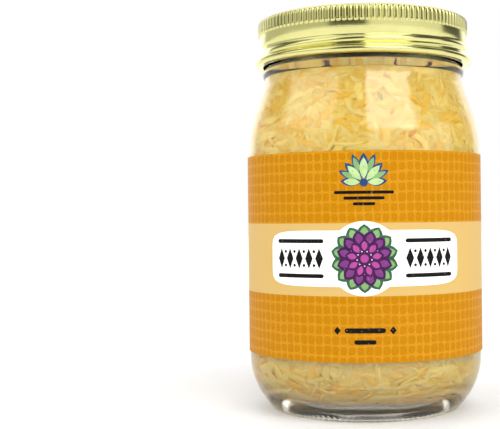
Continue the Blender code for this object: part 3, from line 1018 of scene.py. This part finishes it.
def medallion(count=144):
    """A disc with a rounded panel on each side."""
    points = []
    for angle in even_turns(count):
        u = abs(math.sin(angle)) / MEDALLION_HALF_WIDTH
        v = abs(math.cos(angle)) / MEDALLION_HALF_HEIGHT
        panel = (u**MEDALLION_POWER + v**MEDALLION_POWER) ** (-1.0 / MEDALLION_POWER)
        reach = max(MEDALLION_RADIUS, panel)
        points.append((reach * math.sin(angle), reach * math.cos(angle)))
    return points


def rosette(centre):
    """Rings of petals: green leaves outside, purple ones inside."""
    shapes = []
    layer = 2
    for count, shift, start, length, width, dark, light in ROSETTE_RINGS:
        face_start = start + length * PETAL_INSET
        for i in range(count):
            angle = FULL_TURN * (i + shift) / count
            face = leaf(length, width * PETAL_INNER_WIDTH)
            shapes.append((placed(leaf(length, width), centre, angle, start), dark, layer))
            shapes.append((placed(face, centre, angle, face_start, PETAL_INNER_SCALE), light, layer + 1))
        layer += 2
    shapes.append((placed(disc(ROSETTE_HEART), centre), DARK_PETAL, layer))
    shapes.append((placed(disc(ROSETTE_EYE), centre), MAGENTA, layer + 1))
    return shapes


def frieze(side, centre_z):
    """Black diamonds and dots between two bars, on one side of the rosette."""
    middle = side * FRIEZE_MIDDLE
    shapes = []
    for offset in (-1, 1):
        place = (middle, centre_z + offset * FRIEZE_BAR_HEIGHT)
        shapes.append((placed(bar(FRIEZE_WIDTH, FRIEZE_BAR), place), BLACK, 2))
    for i in range(FRIEZE_DIAMONDS):
        x = middle + (i - (FRIEZE_DIAMONDS - 1) / 2) * FRIEZE_PITCH
        shapes.append((placed(diamond(*FRIEZE_DIAMOND), (x, centre_z)), BLACK, 2))
        if i == FRIEZE_DIAMONDS - 1:
            continue
        for offset in (-1, 1):
            place = (x + FRIEZE_PITCH / 2, centre_z + offset * FRIEZE_DOT_HEIGHT)
            shapes.append((placed(disc(FRIEZE_DOT, 10), place), BLACK, 2))
    return shapes


def fan_leaf(centre, size, angle, start, scale, colour):
    """A leaf of the fan: its dark outline and its face."""
    outline = placed(leaf(*size), centre, angle, start)
    face = placed(leaf(*size), centre, angle, start + FAN_FACE_SHIFT, scale)
    return [(outline, INDIGO, 1), (face, colour, 2)]


def fan(centre):
    """A fan of leaves on a berry, over three dark bars."""
    x, z = centre
    shapes = []
    for length, width, spread in FAN_LEAVES:
        for side in (-1, 1) if spread else (1,):
            angle = side * spread
            shapes += fan_leaf(centre, (length, width), angle, FAN_LEAF_START, FAN_LEAF_SCALE, PALE_LEAF)
            shapes.append((placed(disc(FAN_DOT, 10), centre, angle, FAN_DOT_PLACE), INDIGO, 3))
    for side in (-1, 1):
        for spread, start in FAN_SMALL_LEAVES:
            shapes += fan_leaf(centre, FAN_SMALL_LEAF, side * spread, start, FAN_SMALL_SCALE, LIGHT_LEAF)
    shapes.append((placed(disc(FAN_BERRY, 18), centre), INDIGO, 3))
    for width, drop in FAN_BARS:
        shapes.append((placed(bar(width, FAN_BAR), (x, z - drop)), BLACK, 1))
    return shapes


def footer(centre):
    """Two bars, the upper one between two diamonds."""
    x, z = centre
    shapes = [(placed(bar(*FOOTER_UPPER), (x, z + FOOTER_RISE)), BLACK, 1)]
    for side in (-1, 1):
        place = (x + side * FOOTER_DIAMOND_PLACE, z + FOOTER_RISE)
        shapes.append((placed(diamond(*FOOTER_DIAMOND), place), BLACK, 1))
    shapes.append((placed(bar(*FOOTER_LOWER), (x, z - FOOTER_RISE)), BLACK, 1))
    return shapes


def cut_outline(outline):
    """A flat outline as a thin shape of narrow upright strips, and the set of its raised vertices."""
    shape = bmesh.new()
    shape.faces.new([shape.verts.new((u, v, 0.0)) for u, v in outline])
    low, high = min(u for u, v in outline), max(u for u, v in outline)
    for cut in range(math.ceil(low / INK_STRIP), math.floor(high / INK_STRIP) + 1):
        geometry = shape.verts[:] + shape.edges[:] + shape.faces[:]
        bmesh.ops.bisect_plane(shape, geom=geometry, plane_co=(cut * INK_STRIP, 0, 0), plane_no=(1, 0, 0))
    bmesh.ops.triangulate(shape, faces=shape.faces[:])
    raised = bmesh.ops.extrude_face_region(shape, geom=shape.faces[:])
    lifted = {item for item in raised["geom"] if isinstance(item, bmesh.types.BMVert)}
    shape.verts.index_update()
    return shape, lifted


def lay_on_label(name, shapes, material):
    """Flat outlines bent round the paper and given a little thickness, as one piece."""
    vertices, faces, colours = [], [], []
    for outline, colour, layer in shapes:
        shape, lifted = cut_outline(outline)
        bottom = LABEL_RADIUS + INK_LAYER * layer - INK_THICKNESS / 2
        first = len(vertices)
        for vert in shape.verts:
            r = bottom + (INK_THICKNESS if vert in lifted else 0.0)
            turn = vert.co.x / LABEL_RADIUS
            vertices.append((r * math.sin(turn), -r * math.cos(turn), vert.co.y))
            colours.append((*colour, 1.0))
        faces += [[first + vert.index for vert in face.verts] for face in shape.faces]
        shape.free()
    return add_piece(name, make_mesh(name, vertices, faces, colours), material, "label_paper")


def label_print():
    """The white medallion, and the ornaments on it, above it and below it."""
    centre = (0.0, MEDALLION_Z)
    lay_on_label("label_medallion", [(placed(medallion(), centre), WHITE, 1)], white_material())
    shapes = rosette(centre) + frieze(-1, MEDALLION_Z) + frieze(1, MEDALLION_Z)
    shapes += fan((0.0, FAN_Z)) + footer((0.0, FOOTER_Z))
    lay_on_label("label_ornaments", shapes, ink_material())


# Stage


def floor():
    mesh = bpy.data.meshes.new("floor")
    shape = bmesh.new()
    bmesh.ops.create_grid(shape, x_segments=1, y_segments=1, size=FLOOR_SIZE / 2)
    shape.to_mesh(mesh)
    shape.free()
    made, _, shader, _ = new_material("floor")
    set_inputs(shader, {"Base Color": FLOOR_COLOUR, "Roughness": 0.6, "Specular IOR Level": 0.2})
    obj = bpy.data.objects.new("floor", mesh)
    mesh.materials.append(made)
    bpy.context.scene.collection.objects.link(obj)


def panel_mask(tree, azimuth, elevation, sides, heights, soft):
    """1 inside a panel of the studio and 0 outside it, with a soft edge."""
    edge = math.radians(soft)
    middle, half = math.radians(sum(sides) / 2), math.radians((sides[1] - sides[0]) / 2)
    away = tree.math("WRAP", tree.math("SUBTRACT", azimuth, middle), math.pi, -math.pi)
    across = tree.smooth(tree.math("ABSOLUTE", away), half - edge, half + edge, 1.0, 0.0)
    low, high = (math.radians(height) for height in heights)
    rising = tree.smooth(elevation, low - edge, low + edge)
    falling = tree.smooth(elevation, high - edge, high + edge, 1.0, 0.0)
    return tree.math("MULTIPLY", tree.math("MULTIPLY", across, rising), falling)


def studio():
    """A dim room with bright soft panels, which the camera itself sees as plain white."""
    world = bpy.data.worlds.new("studio")
    world.use_nodes = True
    bpy.context.scene.world = world
    tree = Tree(world.node_tree)
    direction = tree.add("ShaderNodeTexCoord").outputs["Generated"]
    x, y, z = tree.add("ShaderNodeSeparateXYZ", {"Vector": direction}).outputs
    azimuth = tree.math("ARCTAN2", x, tree.math("MULTIPLY", y, -1.0))
    elevation = tree.math("ARCSINE", z)
    light = ROOM_LIGHT
    for _, sides, heights, strength, soft in PANELS:
        mask = panel_mask(tree, azimuth, elevation, sides, heights, soft)
        light = tree.math("ADD", tree.math("MULTIPLY", mask, strength), light)
    seen = tree.add("ShaderNodeLightPath").outputs["Is Camera Ray"]
    shown = tree.add("ShaderNodeMix", {0: seen, 2: light, 3: 1.0}, data_type="FLOAT")
    background = world.node_tree.nodes["Background"]
    background.inputs["Color"].default_value = CLEAR
    tree.link(shown.outputs[0], background.inputs["Strength"])


def fill_lights():
    """Soft light from the camera's side and from both sides that leaves no mark in gloss."""
    for name, strength, turn in FILLS:
        lamp = bpy.data.lights.new(name, "SUN")
        lamp.energy = strength
        lamp.angle = FILL_SPREAD
        lamp.cycles.use_multiple_importance_sampling = False
        obj = bpy.data.objects.new(name, lamp)
        bpy.context.scene.collection.objects.link(obj)
        level = Matrix.Rotation(math.pi / 2 - FILL_RISE, 4, "X")
        obj.matrix_world = Matrix.Rotation(math.radians(turn), 4, "Z") @ level
        obj.visible_glossy = False
        obj.visible_transmission = False


def camera():
    data = bpy.data.cameras.new("camera")
    data.lens = CAMERA_LENS
    data.sensor_width = CAMERA_SENSOR
    data.shift_x = CAMERA_SHIFT
    data.clip_start = CAMERA_NEAR
    obj = bpy.data.objects.new("camera", data)
    bpy.context.scene.collection.objects.link(obj)
    upright = Matrix.Rotation(math.pi / 2, 4, "X")
    aim = Matrix.Rotation(CAMERA_YAW, 4, "Z") @ upright @ Matrix.Rotation(-CAMERA_ROLL, 4, "Z")
    obj.matrix_world = Matrix.Translation(CAMERA_PLACE) @ aim
    bpy.context.scene.camera = obj


def main():
    camera()
    studio()
    fill_lights()
    floor()
    wall = Wall()
    cabbage = cabbage_material()
    glass_jar()
    brine()
    cabbage_core(wall, cabbage)
    all_shreds(wall, cabbage)
    screw_lid()
    wrap_label()
    label_print()
    bpy.context.scene.view_settings.view_transform = "Standard"


main()
